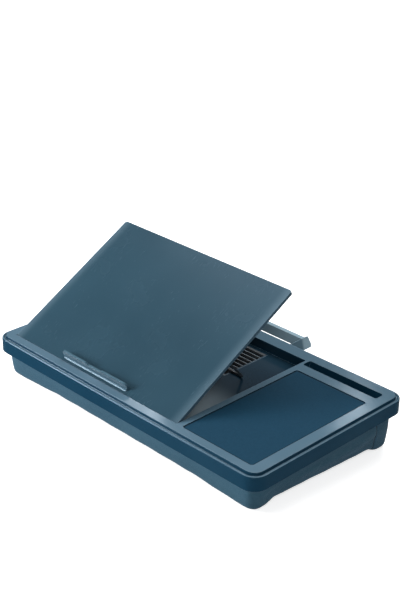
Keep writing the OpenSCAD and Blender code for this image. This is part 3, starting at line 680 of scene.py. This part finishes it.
points = [tray_point(v.co) for v in nodes["mouse_pad"].data.vertices]
pad_min = [min(p[i] for p in points) for i in range(3)]
pad_max = [max(p[i] for p in points) for i in range(3)]
pad_w, pad_d = pad_max[0] - pad_min[0], pad_max[1] - pad_min[1]
pad_x, pad_y = (pad_min[0] + pad_max[0]) / 2, (pad_min[1] + pad_max[1]) / 2
profile = [(PAD_FOOT_INSET, pad_min[2]), (0.0, pad_min[2] + PAD_FOOT_H)]
for degrees in (0, 30, 60, 90):
    a = radians(degrees)
    profile.append((PAD_EDGE_R * (1 - cos(a)), pad_max[2] - PAD_EDGE_R * (1 - sin(a))))
pad_rings = [[(x + pad_x, y + pad_y, z)
              for x, y in rounded(pad_w - 2 * inset, pad_d - 2 * inset, PAD_CORNER_R - inset)]
             for inset, z in profile]
face = rounded(pad_w - 2 * PAD_EDGE_R, pad_d - 2 * PAD_EDGE_R, PAD_CORNER_R - PAD_EDGE_R)
for f in (0.97, 0.90, 0.75, 0.5, 0.2):
    pad_rings.append([(x * f + pad_x, y * f + pad_y,
                       pad_max[2] + PAD_CROWN * smooth((1 - f) * 4)) for x, y in face])
pad = ring_mesh("mouse_pad_cloth", pad_rings, (pad_x, pad_y, pad_min[2]),
                (pad_x, pad_y, pad_max[2] + PAD_CROWN))
soften(pad)
pad.data.materials.append(MATS["pad"])
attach(pad, "tray")
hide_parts("mouse_pad")


# ---------------------------------------------------------------- seams

# Down both sides of the cushion, near the rear, sewn in dark thread
thread = Mat("seam_thread")
thread.set(Base_Color=thread.mix(thread.remap(thread.noise(500.0), 0.3, 0.7),
                                 (0.010, 0.014, 0.020), (0.028, 0.036, 0.046)),
           Roughness=0.8)
cover = BVHTree.FromPolygons([v.co for v in cushion.data.vertices],
                             [p.vertices for p in cushion.data.polygons])
seam_h = abs(floor_z(SEAM_Y) - CUSHION_TOP) - SEAM_SHORT
for side, label in ((-1, "left"), (1, "right")):
    curve = bpy.data.curves.new("seam_" + label, "CURVE")
    curve.dimensions = "3D"
    curve.bevel_depth = SEAM_R / 1000
    curve.bevel_resolution = 2
    line = curve.splines.new("POLY")
    stitches = []
    for i in range(SEAM_POINTS):
        z = CUSHION_TOP - SEAM_TOP - i * seam_h / (SEAM_POINTS - 1)
        beside = world(side * RAY_FROM_X, SEAM_Y, z)
        spot = cover.ray_cast(beside, Vector((-side, 0, 0)))[0]
        if spot is not None:
            stitches.append(spot + Vector((side * SEAM_PROUD / 1000, 0, 0)))
    line.points.add(len(stitches) - 1)
    for point, place in zip(line.points, stitches):
        point.co = (*place, 1)
    seam = bpy.data.objects.new("seam_" + label, curve)
    bpy.context.scene.collection.objects.link(seam)
    curve.materials.append(thread.m)
    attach(seam, "tray")


# ---------------------------------------------------------------- floor, light, camera

bpy.ops.mesh.primitive_plane_add(size=40, location=(0, 0, 0))
ground = bpy.context.object
ground.name = "floor"
paper = Mat("floor_paper")
tree = paper.t
tree.nodes.remove(paper.b)
diffuse = tree.nodes.new("ShaderNodeBsdfDiffuse")
diffuse.inputs["Color"].default_value = (0.82, 0.82, 0.82, 1)
# The eye sees the floor glow white, and more so far away, where the light falls off:
# distances in metres, and the glow's strengths there
GLOW_NEAR, GLOW_FAR, GLOW_LOW, GLOW_HIGH = 1.2, 4.0, 0.62, 1.1
glow = tree.nodes.new("ShaderNodeEmission")
ray = tree.nodes.new("ShaderNodeLightPath").outputs
seen = paper.math("MAXIMUM", ray["Is Camera Ray"], ray["Is Transmission Ray"])
x, y, _ = paper.split(paper.p)
reach = paper.math("SQRT", paper.math("ADD", paper.math("MULTIPLY", x, x),
                                      paper.math("MULTIPLY", y, y)))
far = paper.remap(reach, GLOW_NEAR, GLOW_FAR, GLOW_LOW, GLOW_HIGH)
paper.link(paper.math("MULTIPLY", seen, far), glow.inputs["Strength"])
lit = tree.nodes.new("ShaderNodeAddShader")
tree.links.new(diffuse.outputs[0], lit.inputs[0])
tree.links.new(glow.outputs[0], lit.inputs[1])
# Reflections see a dimmer studio floor than the eye does
dim = tree.nodes.new("ShaderNodeEmission")
dim.inputs["Color"].default_value = (*FLOOR_REFLECTED, 1)
dim.inputs["Strength"].default_value = 0.8
choose = tree.nodes.new("ShaderNodeMixShader")
tree.links.new(ray["Is Glossy Ray"], choose.inputs[0])
tree.links.new(lit.outputs[0], choose.inputs[1])
tree.links.new(dim.outputs[0], choose.inputs[2])
tree.links.new(choose.outputs[0], paper.out.inputs[0])
ground.data.materials.append(paper.m)

# The eye sees a white room, and the part is lit by a dimmer one
WORLD_LIT, WORLD_SEEN = 0.20, 1.0
studio = bpy.data.worlds.new("studio")
bpy.context.scene.world = studio
studio.use_nodes = True
tree = studio.node_tree
tree.nodes.clear()
out = tree.nodes.new("ShaderNodeOutputWorld")
back = tree.nodes.new("ShaderNodeBackground")
ray = tree.nodes.new("ShaderNodeLightPath").outputs
pick = tree.nodes.new("ShaderNodeMath")
pick.operation = "MAXIMUM"
tree.links.new(ray["Is Camera Ray"], pick.inputs[0])
tree.links.new(ray["Is Transmission Ray"], pick.inputs[1])
level = tree.nodes.new("ShaderNodeMapRange")
tree.links.new(pick.outputs[0], level.inputs["Value"])
level.inputs["To Min"].default_value = WORLD_LIT
level.inputs["To Max"].default_value = WORLD_SEEN
tree.links.new(level.outputs[0], back.inputs["Strength"])
back.inputs["Color"].default_value = (1, 1, 1, 1)
tree.links.new(back.outputs[0], out.inputs[0])

# Name, place, the point it is aimed at, side in metres, watts
MIDDLE = (0, 0, 0.1)
for name, place, aim, size, power in (
        ("key", (-2.3, -2.3, 1.3), MIDDLE, 1.2, 72),
        ("fill", (2.3, -0.9, 1.6), MIDDLE, 0.9, 10),
        ("front", (1.7, -2.0, 1.6), MIDDLE, 0.8, 22),
        ("glint_right", (-0.74, 1.35, 1.2), (0.29, 0, 0.09), 0.08, 0.35),
        ("glint_front", (-1.21, 0.88, 1.17), (0.06, -0.2, 0.07), 0.10, 0.45),
        ("over", (-1.3, 0.25, 2.1), MIDDLE, 0.8, 8),
        ("left", (-1.3, -1.5, 0.35), (-0.2, -0.15, 0.03), 0.6, 36),
        ("top", (-0.6, 1.0, 2.5), MIDDLE, 2.0, 62)):
    light = bpy.data.lights.new(name, "AREA")
    light.energy = power
    light.shape = "RECTANGLE"
    light.size = light.size_y = size
    lamp = bpy.data.objects.new(name, light)
    lamp.location = place
    lamp.rotation_euler = (Vector(aim) - Vector(place)).to_track_quat("-Z", "Y").to_euler()
    bpy.context.scene.collection.objects.link(lamp)

# The camera that the photograph was taken with, as fitted to it
cam_data = bpy.data.cameras.new("camera")
cam_data.lens = 74.147
cam_data.sensor_fit = "VERTICAL"
cam_data.sensor_height = 36.0
cam_data.clip_start = 0.05
cam = bpy.data.objects.new("camera", cam_data)
cam.location = (1.293349, -1.372147, 0.988194)
cam.rotation_euler = Euler((radians(67.02925), radians(-3.75760), radians(45.33754)))
bpy.context.scene.collection.objects.link(cam)
bpy.context.scene.camera = cam
bpy.context.scene.view_settings.view_transform = "Standard"
